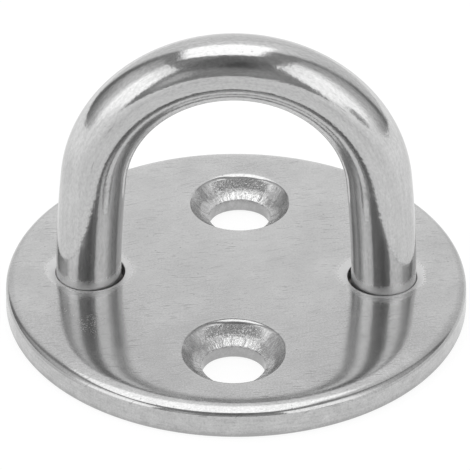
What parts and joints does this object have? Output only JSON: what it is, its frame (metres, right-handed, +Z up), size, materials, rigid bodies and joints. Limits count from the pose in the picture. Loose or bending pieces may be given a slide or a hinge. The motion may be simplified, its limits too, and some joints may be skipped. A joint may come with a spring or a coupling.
{
  "type": "pad eye",
  "caption": "Welded round pad eye: a bent bar bow on a countersunk round base plate, screwed to a deck to hold a shackle, snap hook or line.",
  "frame": {"origin": "centre of the base plate's underside, the face that sits on the deck", "axes": "+Z up out of the deck through the top of the bow; the bow's two legs lie along X; the two screw holes lie along Y"},
  "size_m": [0.0425, 0.0424, 0.0284],
  "materials": {
    "plate_steel": "polished stainless steel with fine surface scratches",
    "bar_steel": "mirror-polished stainless steel bar",
    "weld_metal": "ground weld metal with faint heat tint"
  },
  "bodies": {
    "root": {"base_plate": "plate_steel", "eye_bow": "bar_steel", "weld_left": "weld_metal", "weld_right": "weld_metal"}
  },
  "joints": []
}
